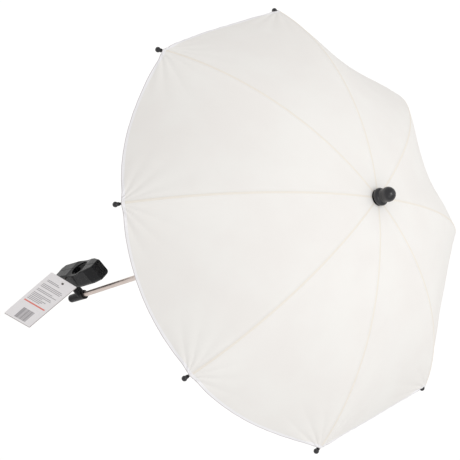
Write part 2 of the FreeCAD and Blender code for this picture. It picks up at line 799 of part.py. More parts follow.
def cloth_stand():
    """Return how far the cloth stands off the ribs, so that it clears their edges and the rivets."""
    joint_share = (joint_angle - hinge_angle) / (hem_angle - hinge_angle)
    fork = item_length(FORK_WIDTH) / 2
    head = fork + dim("pin_gap") + dim("rivet_head_wall")
    rises = [dim("rib_width") / 2 * panel_fall(share) for share in STATIONS]
    rises.append(dim("cheek_radius") - dim("rib_height") / 2 + fork * panel_fall(joint_share))
    rises.append(dim("rivet_head") - dim("rib_height") / 2 + head * panel_fall(joint_share))
    return max(rises) + dim("cloth_lift")


cloth_radius = rib_top + cloth_stand()
cloth_top_z = centre_z + math.sqrt((cloth_radius + dim("cloth")) ** 2 - dim("cloth_hole") ** 2)
finial_z = cloth_top_z + dim("seat_gap") + dim("top_washer_wall") + dim("seat_gap")
pole_top_z = finial_z + dim("finial_bore") - dim("slide_gap")


def cloth_arc(share, turn, out):
    """Return the arc across a panel, out by the given distance from the inner skin."""
    return Part.Wire([Part.Arc(*panel_points(share, turn, cloth_radius, out)).toShape()])


def make_panel(turn):
    """Make one panel as two lofted skins closed by ruled edges."""
    skins = []
    for out in (0, dim("cloth")):
        skins.append(Part.makeLoft([cloth_arc(share, turn, out) for share in STATIONS]).Faces[0])
    sides = [Part.makeRuledSurface(*pair) for pair in zip(skins[0].Edges, skins[1].Edges)]
    shell = Part.makeShell(skins + sides)
    shell.sewShape()
    return Part.makeSolid(shell)


def make_canopy():
    """Make the sewn canopy, one panel between each pair of ribs."""
    count = int(dim("rib_count"))
    canopy = doc.addObject("Part::Feature", "canopy")
    canopy.Shape = Part.makeCompound([make_panel(2 * math.pi * (i + 0.5) / count) for i in range(count)])
    keep(canopy, "canopy", pole_frame * at(0, 0, centre_z))


def make_finial():
    """Make the ball finial that screws down on the canopy, and the washer under it."""
    ball = sized("Part::Sphere", "finial_ball", at(0, 0, dim("finial_rise") + dim("bead_round")),
                 Radius="finial_ball")
    bead = sized("Part::Torus", "finial_bead", at(0, 0, dim("bead_round")),
                 Radius1="bead_radius - bead_round", Radius2="bead_round")
    core = sized("Part::Cylinder", "finial_core", Radius="bead_radius - bead_round", Height="2 * bead_round")
    collar = sized("Part::Cylinder", "finial_neck", at(0, 0, dim("bead_round")), Radius="finial_collar",
                   Height="finial_rise")
    bore = sized("Part::Cylinder", "finial_hole", at(0, 0, -1), Radius="pole_radius + seat_gap",
                 Height="finial_bore + 1")
    place = pole_frame * at(0, 0, finial_z)
    keep(cut("finial_cut", fused("finial_solid", [ball, bead, core, collar]), [bore]), "finial", place)
    ring = sized("Part::Cylinder", "washer_disc", Radius="top_washer_radius", Height="top_washer_wall")
    hole = sized("Part::Cylinder", "washer_bore", at(0, 0, -1), Radius="pole_radius + seat_gap",
                 Height="top_washer_wall + 2")
    washer_z = finial_z - dim("seat_gap") - dim("top_washer_wall")
    keep(cut("top_washer", ring, [hole]), "canopy_washer", pole_frame * at(0, 0, washer_z))


def make_tag():
    """Make the card tag and the pin that it swings on."""
    side = dim("tag_width") / 2
    card = sized("Part::Box", "card",
                 at(-side + dim("tag_hole_side"), 0, dim("tag_hole_drop") - dim("tag_length")),
                 Length="tag_width", Width="tag_wall", Height="tag_length")
    hole = across("card_hole", "tag_hole", "tag_wall + 2", 0, -1, 0)
    keep(cut("tag_card", card, [hole]), "hang_tag", clamp_frame * tag_place)
    head_place = tag_place * at(0, dim("tag_wall") + dim("slide_gap"), 0, ALONG_Y)
    head = sized("Part::Cylinder", "pin_head", head_place, Radius="tag_pin_head", Height="tag_pin_head_wall")
    front = sized("Part::Cylinder", "pin_front", tag_place * at(0, -dim("tag_pin_front"), 0, ALONG_Y),
                  Radius="tag_pin_radius", Height="tag_pin_front + tag_wall + slide_gap")
    bend = sized("Part::Sphere", "pin_bend", Placement(pin_bend, pin_turn), Radius="tag_pin_radius + seat_gap")
    leg = tag_pin_leg("pin_leg", "tag_pin_radius")
    clamped(fused("pin_solid", [head, front, bend, leg]), "tag_pin")


make_fixed_jaw()
make_moving_jaw()
make_pads()
make_clamp_screw()
make_socket()
make_swivel()
make_pole()
make_crown()
make_runner()
for rib in range(int(dim("rib_count"))):
    make_rib(rib)
    make_rib_tip(rib)
    make_stretcher(rib)
    make_rivet(rib)
make_canopy()
make_finial()
make_tag()
doc.recompute()

# Every object must be sound before anything is written
failed = [item.Name for item in doc.Objects if {"Invalid", "Error"} & set(item.State)]
failed += [item.Label for item in nodes if item.Shape.isNull() or not item.Shape.isValid()]
if failed:
    raise RuntimeError(f"failed objects: {failed}")
os.makedirs("parts", exist_ok=True)
for item in nodes:
    item.Shape.exportStep(f"parts/{item.Label}.step")
    print(f"{item.Label}: {len(item.Shape.Solids)} solids, {item.Shape.Volume:.1f} mm3")
print(f"dome radius {dome:.2f}, crown hinge z {crown_z:.3f}, runner hinge z {runner_z:.3f}")
print(f"stretcher {stretcher_length:.3f} long, slope {stretcher_slope:.3f}, joint r {joint_r:.3f}, z {joint_z:.3f}")
print(f"dome centre z {centre_z:.3f}, catch z {catch_z:.3f}, finial z {finial_z:.3f}")
print(f"swivel {swivel}, cloth radius {cloth_radius:.3f}, cloth stands off by {cloth_stand():.3f}")
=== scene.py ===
"""Studio scene of the pram parasol.

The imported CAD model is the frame. This script gives every CAD node its finish, sews the canopy from eight
gores of cloth that each follow a rib, and makes the printed card tag. Lengths are in metres.
"""
import itertools
import logging
import math
from dataclasses import dataclass, field
from enum import Enum
from typing import Any

import bpy
import numpy as np
from mathutils import Matrix, Vector


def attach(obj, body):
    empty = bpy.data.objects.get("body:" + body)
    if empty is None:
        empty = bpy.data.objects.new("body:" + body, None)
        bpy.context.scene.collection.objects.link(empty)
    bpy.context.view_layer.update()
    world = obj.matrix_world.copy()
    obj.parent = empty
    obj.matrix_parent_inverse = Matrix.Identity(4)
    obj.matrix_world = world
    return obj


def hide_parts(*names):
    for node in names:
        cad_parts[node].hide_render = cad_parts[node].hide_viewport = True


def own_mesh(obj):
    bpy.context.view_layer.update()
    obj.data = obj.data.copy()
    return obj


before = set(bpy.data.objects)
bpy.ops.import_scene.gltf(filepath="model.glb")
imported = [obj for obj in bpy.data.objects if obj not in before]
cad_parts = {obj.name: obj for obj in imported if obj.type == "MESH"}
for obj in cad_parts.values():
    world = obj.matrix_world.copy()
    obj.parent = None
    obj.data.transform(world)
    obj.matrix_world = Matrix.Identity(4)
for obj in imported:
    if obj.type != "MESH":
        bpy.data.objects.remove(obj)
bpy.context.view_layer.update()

LOG = logging.getLogger("parasol")
Colour = tuple[float, float, float, float]
Place = tuple[float, float, float]
Range = tuple[float, float]
Box = tuple[float, float, float, float]
MM = 0.001
TURN = 2 * math.pi
WHITE: Colour = (1.0, 1.0, 1.0, 1.0)
# Values of a noise texture: the range of most of them, and the range that fades into worn patches
NOISE: Range = (0.3, 0.7)
PATCHES: Range = (0.35, 0.75)


def tint(red: int, green: int, blue: int) -> Colour:
    """Turn a display colour into a linear one.

    Args:
        red: red, 0 to 255.
        green: green, 0 to 255.
        blue: blue, 0 to 255.

    Returns:
        The linear colour, with full alpha.
    """
    def linear(level: int) -> float:
        """Return one channel in linear light."""
        share = level / 255
        return share / 12.92 if share <= 0.04045 else ((share + 0.055) / 1.055) ** 2.4

    return linear(red), linear(green), linear(blue), 1.0


class Slot(Enum):
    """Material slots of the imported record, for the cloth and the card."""

    CLOTH = "canopy_cloth"
    CARD = "tag_card"


class Body(Enum):
    """CAD bodies that new pieces ride on."""

    TAG = "tag"

    @staticmethod
    def rib(number: int) -> str:
        """Return the name of one rib's body."""
        return f"rib_{number}"


class Graph:
    """Node tree of one material, with short calls that add and join nodes."""

    # Sockets of a Mix node that mixes colours
    MIX_SHARE, MIX_FIRST, MIX_SECOND, MIX_RESULT = 0, 6, 7, 2
    BEVEL_SAMPLES = 6

    def __init__(self, name: str) -> None:
        """Start a material with an empty principled shader."""
        self.material = bpy.data.materials.new(name)
        self.material.use_nodes = True
        self.tree = self.material.node_tree
        self.shader = self.tree.nodes["Principled BSDF"]

    def node(self, kind: str, inputs: dict[str | int, Any] | None = None, **settings: Any) -> bpy.types.Node:
        """Add a node.

        Args:
            kind: node type without its ShaderNode prefix.
            inputs: sockets or plain values for its inputs, by name or number.
            settings: properties of the node.

        Returns:
            The new node.
        """
        made = self.tree.nodes.new("ShaderNode" + kind)
        for key, value in settings.items():
            setattr(made, key, value)
        self.feed(made, inputs or {})
        return made

    def feed(self, node: bpy.types.Node, inputs: dict[str | int, Any]) -> None:
        """Link sockets into a node, or set plain values on it."""
        for key, value in inputs.items():
            if isinstance(value, bpy.types.NodeSocket):
                self.tree.links.new(value, node.inputs[key])
            else:
                node.inputs[key].default_value = value

    def math(self, operation: str, first: Any, second: Any = 0.0, third: Any = 0.0) -> bpy.types.NodeSocket:
        """Add a Math node and return its result."""
        return self.node("Math", {0: first, 1: second, 2: third}, operation=operation).outputs[0]

    def ramp(self, value: Any, low: float, high: float, start: float, end: float) -> bpy.types.NodeSocket:
        """Map a value smoothly from one range to another and return the result."""
        made = self.node("MapRange", {0: value, 1: low, 2: high, 3: start, 4: end})
        made.interpolation_type = "SMOOTHSTEP"
        return made.outputs[0]

    def rise(self, value: Any, low: float, high: float) -> bpy.types.NodeSocket:
        """Return a mask that rises from 0 to 1 between two values."""
        return self.ramp(value, low, high, 0.0, 1.0)

    def fade(self, value: Any, low: float, high: float) -> bpy.types.NodeSocket:
        """Return a mask that falls from 1 to 0 between two values."""
        return self.ramp(value, low, high, 1.0, 0.0)

    def mix(self, share: Any, first: Any, second: Any) -> bpy.types.NodeSocket:
        """Mix two colours and return the result."""
        inputs = {self.MIX_SHARE: share, self.MIX_FIRST: first, self.MIX_SECOND: second}
        return self.node("Mix", inputs, data_type="RGBA").outputs[self.MIX_RESULT]

    def noise(self, vector: Any, scale: float, detail: float = 3.0) -> bpy.types.NodeSocket:
        """Add a noise texture and return its value."""
        return self.node("TexNoise", {"Vector": vector, "Scale": scale, "Detail": detail}).outputs["Fac"]

    def stretched(self, vector: Any, scale: Place) -> bpy.types.NodeSocket:
        """Return coordinates that are scaled along each axis."""
        return self.node("Mapping", {"Vector": vector, "Scale": scale}).outputs[0]

    def place(self) -> bpy.types.NodeSocket:
        """Return the object coordinates."""
        return self.node("TexCoord").outputs["Object"]

    def bump(self, height: Any, distance: float, normal: Any = None) -> bpy.types.NodeSocket:
        """Return a normal that follows a height field."""
        inputs = {"Height": height, "Distance": distance, "Strength": 1.0}
        if normal is not None:
            inputs["Normal"] = normal
        return self.node("Bump", inputs).outputs[0]

    def soft_edge(self, radius: float) -> bpy.types.NodeSocket:
        """Return a normal that is rounded over sharp edges."""
        return self.node("Bevel", {"Radius": radius}, samples=self.BEVEL_SAMPLES).outputs[0]


@dataclass(frozen=True)
class Plastic:
    """Moulded plastic with a fine sparked grain and soft edges."""

    name: str
    colour: Colour
    worn: Colour
    roughness: float
    gloss: float = 0.3
    grain: float = 0.35 * MM
    depth: float = 0.012 * MM
    edge: float = 0.7 * MM
    cloud_scale: float = 60.0
    smoother: float = 0.05
    rougher: float = 0.07

    def material(self) -> bpy.types.Material:
        """Return the finished material."""
        g = Graph(self.name)
        place = g.place()
        cloud = g.noise(place, self.cloud_scale)
        grain = g.noise(place, 1 / self.grain, detail=2.0)
        g.feed(g.shader, {
            "Base Color": g.mix(g.rise(cloud, *PATCHES), self.colour, self.worn),
            "Roughness": g.ramp(cloud, *NOISE, self.roughness - self.smoother, self.roughness + self.rougher),
            "Specular IOR Level": self.gloss,
            "Normal": g.bump(grain, self.depth, g.soft_edge(self.edge)),
        })
        return g.material


@dataclass(frozen=True)
class Rubber:
    """Matt rubber with a dusty bloom and fine moulded pips."""

    name: str
    colour: Colour
    bloom: Colour
    pip: float = 1.2 * MM
    pip_depth: float = 0.08 * MM
    cloud_scale: float = 90.0
    bloom_range: Range = (0.3, 0.8)
    roughness: Range = (0.72, 0.86)

    def material(self) -> bpy.types.Material:
        """Return the finished material."""
        g = Graph(self.name)
        place = g.place()
        pips = g.node("TexVoronoi", {"Vector": place, "Scale": 1 / self.pip}).outputs["Distance"]
        cloud = g.noise(place, self.cloud_scale)
        g.feed(g.shader, {
            "Base Color": g.mix(g.rise(cloud, *self.bloom_range), self.colour, self.bloom),
            "Roughness": g.ramp(cloud, *NOISE, *self.roughness),
            "Normal": g.bump(pips, self.pip_depth),
        })
        return g.material


@dataclass(frozen=True)
class Steel:
    """Plated metal, with fine lines along its length where it was drawn."""

    name: str
    colour: Colour
    dull: Colour
    roughness: float
    stretch: Place = (1.0, 1.0, 1.0)
    line: float = 0.25 * MM
    depth: float = 0.004 * MM
    edge: float = 0.25 * MM
    cloud_scale: float = 45.0
    smoother: float = 0.05
    rougher: float = 0.08

    def material(self) -> bpy.types.Material:
        """Return the finished material."""
        g = Graph(self.name)
        place = g.place()
        lines = g.noise(g.stretched(place, self.stretch), 1 / self.line, detail=2.0)
        cloud = g.noise(place, self.cloud_scale)
        g.feed(g.shader, {
            "Base Color": g.mix(g.rise(cloud, *PATCHES), self.colour, self.dull),
            "Metallic": 1.0,
            "Roughness": g.ramp(lines, *NOISE, self.roughness - self.smoother, self.roughness + self.rougher),
            "Normal": g.bump(lines, self.depth, g.soft_edge(self.edge) if self.edge else None),
        })
        return g.material


@dataclass(frozen=True)
class Nylon:
    """Moulded nylon, a little translucent."""

    name: str
    colour: Colour
    cloudy: Colour
    cloud_scale: float = 400.0
    roughness: Range = (0.25, 0.4)
    glow: float = 0.3
    glow_depth: float = 2.0 * MM

    def material(self) -> bpy.types.Material:
        """Return the finished material."""
        g = Graph(self.name)
        cloud = g.noise(g.place(), self.cloud_scale)
        g.feed(g.shader, {
            "Base Color": g.mix(cloud, self.colour, self.cloudy),
            "Roughness": g.ramp(cloud, *NOISE, *self.roughness),
            "Subsurface Weight": self.glow,
            "Subsurface Radius": (self.glow_depth,) * 3,
        })
        return g.material


@dataclass(frozen=True)
class SewnCloth:
    """Plain woven cloth with felled seams over the ribs and a turned hem.

    The first UV coordinate is the distance from the rib's seam and the second the distance from the hem.
    """

    name: str
    colour: Colour
    shade: Colour
    seam: Colour
    hem: Colour
    edge: Colour
    thread: Colour
    yarn: float = 0.55 * MM
    yarn_relief: float = 0.5
    weave_depth: float = 0.02 * MM
    cloud_scale: float = 14.0
    slub_scale: float = 900.0
    slub_stretch: Place = (1.0, 0.12, 1.0)
    seam_half: float = 1.2 * MM
    seam_soft: float = 0.7 * MM
    seam_row: float = 0.9 * MM
    hem_width: float = 4.6 * MM
    hem_soft: float = 0.8 * MM
    hem_row: float = 1.2 * MM
    edge_fade: Range = (0.8 * MM, 1.5 * MM)
    stitch: float = 2.6 * MM
    stitch_fade: Range = (0.15 * MM, 0.35 * MM)
    stitch_gap: Range = (-0.5, 0.1)
    stitch_sink: float = 0.6
    thread_share: float = 0.5
    sewn_depth: float = 0.12 * MM
    roughness: Range = (0.78, 0.9)
    sheen: float = 0.12
    sheen_roughness: float = 0.5
    gloss: float = 0.25

    def stitches(self, g: Graph, off_row: Any, along: Any) -> bpy.types.NodeSocket:
        """Sew a row of stitches.

        Args:
            g: graph to add to.
            off_row: distance from the row, below zero on one side.
            along: distance along the row.

        Returns:
            A mask that is 1 on the thread.
        """
        row = g.fade(g.math("ABSOLUTE", off_row), *self.stitch_fade)
        return g.math("MULTIPLY", row, g.rise(self.wave(g, along, self.stitch), *self.stitch_gap))

    @staticmethod
    def wave(g: Graph, along: Any, length: float) -> bpy.types.NodeSocket:
        """Return a sine wave of a given length."""
        return g.math("SINE", g.math("MULTIPLY", along, TURN / length))

    def material(self) -> bpy.types.Material:
        """Return the finished material."""
        g = Graph(self.name)
        uv = g.node("UVMap", uv_map="cloth").outputs[0]
        parts = g.node("SeparateXYZ", {0: uv})
        across, from_hem = parts.outputs[0], parts.outputs[1]
        off_seam = g.math("ABSOLUTE", across)

        cloud = g.noise(g.place(), self.cloud_scale)
        slub = g.noise(g.stretched(uv, self.slub_stretch), self.slub_scale, detail=2.0)
        on_seam = g.fade(off_seam, self.seam_half, self.seam_half + self.seam_soft)
        in_hem = g.fade(from_hem, self.hem_width, self.hem_width + self.hem_soft)
        at_edge = g.fade(from_hem, *self.edge_fade)
        seam_stitch = self.stitches(g, g.math("SUBTRACT", off_seam, self.seam_row), from_hem)
        hem_stitch = self.stitches(g, g.math("SUBTRACT", from_hem, self.hem_width - self.hem_row), across)
        stitches = g.math("MAXIMUM", seam_stitch, hem_stitch)

        colour = g.mix(g.rise(cloud, *NOISE), self.colour, self.shade)
        for mask, over in ((on_seam, self.seam), (in_hem, self.hem), (at_edge, self.edge),
                           (g.math("MULTIPLY", stitches, self.thread_share), self.thread)):
            colour = g.mix(mask, colour, over)

        yarns = g.math("MULTIPLY", self.wave(g, across, self.yarn), self.wave(g, from_hem, self.yarn))
        weave = g.bump(g.math("MULTIPLY_ADD", yarns, self.yarn_relief, slub), self.weave_depth)
        sunk = g.math("MULTIPLY", stitches, self.stitch_sink)
        g.feed(g.shader, {
            "Base Color": colour,
            "Roughness": g.ramp(slub, *NOISE, *self.roughness),
            "Sheen Weight": self.sheen,
            "Sheen Roughness": self.sheen_roughness,
            "Specular IOR Level": self.gloss,
            "Normal": g.bump(g.math("SUBTRACT", on_seam, sunk), self.sewn_depth, weave),
        })
        return g.material


@dataclass(frozen=True)
class RuledCard:
    """White card with plain printed rules, read from the card's own UV map in metres.

    The print's places are in millimetres from the card's top corner: left, right and top of each rule, and
    left, right, top and bottom of each box.
    """

    name: str
    colour: Colour
    fibre: Colour
    ink: Colour
    red: Colour
    grey: Colour
    # Colour of the painted shade along one side and the bottom of the card, where its edge is in shadow
    edge_shade: Colour
    rules: tuple[Place, ...] = (
        (7, 30, 17), (7, 34, 20), (6, 47, 29), (6, 50, 32.5), (6, 48, 36), (6, 38, 44), (6, 49, 47.5),
        (6, 44, 55), (6, 46, 58.5), (6, 30, 62), (6, 41, 66), (6, 36, 69.5), (6, 33, 73))
    rule_height: float = 1.3
    red_box: Box = (5, 50, 79, 82.3)
    block_box: Box = (17.3, 41.3, 96.5, 125)
    # Outside this box the card gets painted shade along one side and the bottom
    unshaded_box: Box = (-3.0, 55.6, -3.0, 129.6)
    ink_share: float = 0.75
    edge_shade_share: float = 0.7
    print_soft: float = 0.25 * MM
    stripe_scale: float = 620.0
    stripe_stretch: Place = (1.0, 0.0, 0.0)
    stripe_range: Range = (0.42, 0.58)
    stripe_ink: Range = (0.45, 1.0)
    fibre_scale: float = 700.0
    fibre_depth: float = 0.01 * MM
    roughness: Range = (0.42, 0.55)

    def bar(self, g: Graph, x: Any, z: Any, box: Box) -> bpy.types.NodeSocket:
        """Return a mask that is 1 inside a printed rectangle.

        Args:
            g: graph to add to.
            x: distance across the card.
            z: distance down the card.
            box: left, right, top and bottom in millimetres.

        Returns:
            The mask.
        """
        soft = self.print_soft
        left, right, top, bottom = (side * MM for side in box)
        masks = [g.rise(x, left, left + soft), g.fade(x, right, right + soft),
                 g.rise(z, top, top + soft), g.fade(z, bottom, bottom + soft)]
        inside = masks[0]
        for mask in masks[1:]:
            inside = g.math("MULTIPLY", inside, mask)
        return inside

    def material(self) -> bpy.types.Material:
        """Return the finished material."""
        g = Graph(self.name)
        uv = g.node("UVMap", uv_map="card").outputs[0]
        parts = g.node("SeparateXYZ", {0: uv})
        x, z = parts.outputs[0], parts.outputs[1]
        fibres = g.noise(uv, self.fibre_scale)
        colour = g.mix(g.rise(fibres, *NOISE), self.colour, self.fibre)
        for left, right, top in self.rules:
            line = self.bar(g, x, z, (left, right, top, top + self.rule_height))
            colour = g.mix(g.math("MULTIPLY", line, self.ink_share), colour, self.ink)
        colour = g.mix(self.bar(g, x, z, self.red_box), colour, self.red)
        stripes = g.noise(g.stretched(uv, self.stripe_stretch), self.stripe_scale, detail=0.0)
        striped = g.ramp(stripes, *self.stripe_range, *self.stripe_ink)
        colour = g.mix(g.math("MULTIPLY", self.bar(g, x, z, self.block_box), striped), colour, self.grey)
        # Painted shade: a brown band along one side and the bottom edge stands for the card's shadowed
        # thickness
        edge_shade = g.math("SUBTRACT", 1.0, self.bar(g, x, z, self.unshaded_box))
        colour = g.mix(g.math("MULTIPLY", edge_shade, self.edge_shade_share), colour, self.edge_shade)
        g.feed(g.shader, {
            "Base Color": colour,
            "Roughness": g.ramp(fibres, *NOISE, *self.roughness),
            "Normal": g.bump(fibres, self.fibre_depth),
        })
        return g.material


Finish = Plastic | Rubber | Steel | Nylon

BLACK = Plastic("moulded_black", tint(18, 18, 20), tint(26, 26, 29), 0.24, gloss=0.22, depth=0.006 * MM)
SATIN = Plastic("finial_satin", tint(21, 20, 25), tint(28, 27, 33), 0.34,
                gloss=0.9, depth=0.004 * MM, edge=0.4 * MM)
LACQUER = Plastic("rib_lacquer", tint(26, 25, 27), tint(38, 37, 39), 0.32, edge=0.2 * MM)
RUBBER = Rubber("pad_rubber", tint(62, 62, 63), tint(76, 75, 74))
ZINC = Steel("zinc_plate", tint(196, 198, 202), tint(168, 170, 174), 0.34)
NICKEL = Steel("nickel_tube", tint(232, 219, 212), tint(220, 205, 198), 0.36,
               stretch=(1.0, 1.0, 0.02), edge=0.0)
NYLON = Nylon("nylon_pin", tint(58, 46, 38), tint(72, 58, 48))
CLOTH = SewnCloth("sewn_cloth", tint(242, 240, 237), tint(240, 237, 234), seam=tint(240, 234, 225),
                  hem=tint(247, 246, 249), edge=tint(206, 201, 203), thread=tint(234, 231, 226))
# The card's last colour is the painted shade of its shadowed edges
CARD = RuledCard("ruled_card", tint(243, 240, 242), tint(237, 234, 236), ink=tint(84, 80, 88),
                 red=tint(232, 128, 118), grey=tint(150, 146, 150), edge_shade=tint(96, 74, 66))


def deselect() -> None:
    """Leave no object selected."""
    bpy.ops.object.select_all(action="DESELECT")


def paint(node: bpy.types.Object, material: bpy.types.Material) -> None:
    """Put a material on every slot of an object."""
    if not node.material_slots:
        node.data.materials.append(material)
    for place in node.material_slots:
        place.material = material


def smooth(value: np.ndarray, low: float, high: float) -> np.ndarray:
    """Rise smoothly from 0 to 1 between two values."""
    t = np.clip((value - low) / (high - low), 0, 1)
    return t * t * (3 - 2 * t)


def unit(vectors: np.ndarray) -> np.ndarray:
    """Return vectors of length 1."""
    return vectors / np.linalg.norm(vectors, axis=-1, keepdims=True)


@dataclass
class Hardware:
    """CAD nodes that keep their shape, with the finish of each."""

    finishes: dict[str, Finish] = field(default_factory=lambda: {
        "clamp_fixed_jaw": BLACK, "clamp_moving_jaw": BLACK, "clamp_knob": BLACK, "swivel_cap": BLACK,
        "pole_socket": BLACK, "crown": BLACK, "runner": BLACK, "canopy_washer": BLACK,
        "finial": SATIN, "rib_tip": SATIN,
        "fixed_jaw_pad": RUBBER, "moving_jaw_pad": RUBBER,
        "screw_nut": ZINC, "guide_rods": ZINC, "clamp_screw": ZINC, "screw_clip": ZINC, "socket_pin": ZINC,
        "swivel_washer": ZINC, "swivel_screw": ZINC, "crown_wire": ZINC,
        "runner_wire": ZINC, "catch_spring": ZINC, "joint_rivet": ZINC,
        "rib": LACQUER, "stretcher": LACQUER, "pole_tube": NICKEL, "tag_pin": NYLON,
    })

    def dress(self) -> None:
        """Give every CAD node that has a finish its material."""
        used = {finish.name: finish for finish in self.finishes.values()}
        made = {name: finish.material() for name, finish in used.items()}
        for name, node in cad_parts.items():
            kind = name.rstrip("0123456789").rstrip("_")
            finish = self.finishes.get(name) or self.finishes.get(kind)
            if finish:
                paint(node, made[finish.name])
                LOG.info("dressed %s in %s", name, finish.name)


@dataclass(frozen=True)
class Relief:
    """Sewn edges, folds and slack by which the cloth stands out from the taut sheet.

    Ranges in metres are distances from a seam or the hem. The others are shares of the way from the crown to
    the hem, or of the way from a rib to the next.
    """

    seam_lift: float = 0.45 * MM
    seam_edge: Range = (2.0 * MM, 3.4 * MM)
    crown_fade: Range = (0.03, 0.12)
    hem_lift: float = 0.35 * MM
    hem_edge: Range = (4.4 * MM, 5.2 * MM)

    # Folds that fan out from a point on each seam just past the hem
    fan_back: float = 4.0 * MM
    fan_ease: Range = (0.2, 0.47)
    rib_shift: float = 1.7
    rib_step: float = 2.3
    side_shift: float = 0.9
    pucker: float = 2.1 * MM
    pucker_reach: float = 75.0 * MM
    pucker_count: float = 8.5
    pucker_round: float = 0.05
    pucker_start: Range = (2.0 * MM, 12.0 * MM)
    crease: float = 0.4 * MM
    crease_reach: float = 130.0 * MM
    crease_count: float = 6.0
    crease_shift: float = 1.3
    crease_start: Range = (4.0 * MM, 30.0 * MM)

    # Slack of the panels between the seams: gathers in each panel, and waves round the whole canopy
    gather: float = 0.35 * MM
    gather_reach: float = 9.0 * MM
    gather_count: int = 29
    gather_sway: float = 1.1
    sway_count: int = 3
    beat_count: int = 17
    beat_shift: float = 0.6
    wave: float = 0.7 * MM
    wave_counts: tuple[int, int] = (5, 11)
    wave_falls: Range = (7.0, -5.0)
    wave_shift: float = 0.7
    slack_start: Range = (8.0 * MM, 40.0 * MM)
    slack_rise: Range = (0.1, 0.35)
    sags: tuple[float, ...] = (0.0, 0.0, 0.0, 0.0, 0.0, 10.0 * MM, 5.5 * MM, 1.0 * MM)
    sag_rise: Range = (0.05, 0.4)
    sag_fade: Range = (0.7, 1.0)
    sag_lost: float = 0.5

    def folds(self, turn: np.ndarray, from_seam: np.ndarray,
              from_hem: np.ndarray) -> tuple[np.ndarray, np.ndarray]:
        """Return the heights of the short puckers and of the long creases at the rib tips."""
        rib = np.round(turn)
        side = np.sign(turn - rib)
        # Folds from two ribs die out before the middle of a panel, where their gores meet
        ease = 1 - smooth(np.abs(turn - rib), *self.fan_ease)
        reach = np.hypot(from_seam, from_hem + self.fan_back)
        fan = np.arctan2(from_seam, from_hem + self.fan_back)
        # Each side of each rib has its own folds
        phase = self.rib_shift * np.sin(rib * self.rib_step) + self.side_shift * side
        short = np.sqrt(np.sin(fan * self.pucker_count + phase) ** 2 + self.pucker_round)
        puckers = self.pucker * short * np.exp(-reach / self.pucker_reach)
        long = 0.5 + 0.5 * np.sin(fan * self.crease_count + self.crease_shift * phase)
        creases = self.crease * long * np.exp(-reach / self.crease_reach)
        return (puckers * smooth(from_seam, *self.pucker_start) * ease,
                creases * smooth(from_seam, *self.crease_start) * ease)

    def waves(self, share: np.ndarray, turn: np.ndarray, from_hem: np.ndarray) -> np.ndarray:
        """Return the heights of the gathers at the hem and of the soft waves over the panels."""
        around = turn * 2 * math.pi
        sway = self.gather_sway * np.sin(around * self.sway_count)
        beat = np.sin(around * self.beat_count + self.beat_shift)
        ripple = np.sin(around * self.gather_count + sway) * beat
        gather = self.gather * ripple * np.exp(-from_hem / self.gather_reach)
        # Whole waves round the canopy, so that they close and the panels differ
        first, second = (count / len(self.sags) for count in self.wave_counts)
        soft = (self.wave * np.sin(around * first + self.wave_falls[0] * share)
                * np.sin(around * second + self.wave_falls[1] * share + self.wave_shift))
        return gather + soft

    def sag(self, share: np.ndarray, turn: np.ndarray) -> np.ndarray:
        """Return how far each panel hangs in, most at its middle."""
        panel = np.floor(turn)
        way = (turn - panel) * 2 - 1
        hang = np.array(self.sags)[panel.astype(int) % len(self.sags)]
        return (hang * (1 - way ** 2) ** 2 * smooth(share, *self.sag_rise)
                * (1 - self.sag_lost * smooth(share, *self.sag_fade)))

    def height(self, share: np.ndarray, turn: np.ndarray, from_seam: np.ndarray,
               from_hem: np.ndarray) -> np.ndarray:
        """Find how far the sewn cloth stands out from the taut sheet.

        Args:
            share: way from the crown to the hem.
            turn: place round the crown, counted in ribs.
            from_seam: distance from the nearest rib's seam.
            from_hem: distance from the hem.

        Returns:
            The distances, along the outward normal.
        """
        seam = self.seam_lift * (1 - smooth(from_seam, *self.seam_edge)) * smooth(share, *self.crown_fade)
        hem = self.hem_lift * (1 - smooth(from_hem, *self.hem_edge))
        puckers, creases = self.folds(turn, from_seam, from_hem)
        slack = smooth(from_seam, *self.slack_start) * smooth(share, *self.slack_rise)
        waves = self.waves(share, turn, from_hem) * slack
        return seam + hem + puckers + creases + waves + self.wave * slack - self.sag(share, turn)


@dataclass(frozen=True)
class Band:
    """Part of a gore between two places on its way from the crown to the hem.

    The folded cloth gathers more towards the hem, so each band keeps its own share of its width.
    """

    name: str
    start: float
    end: float
    keep: float
    flat: tuple[float, float]
    area: float


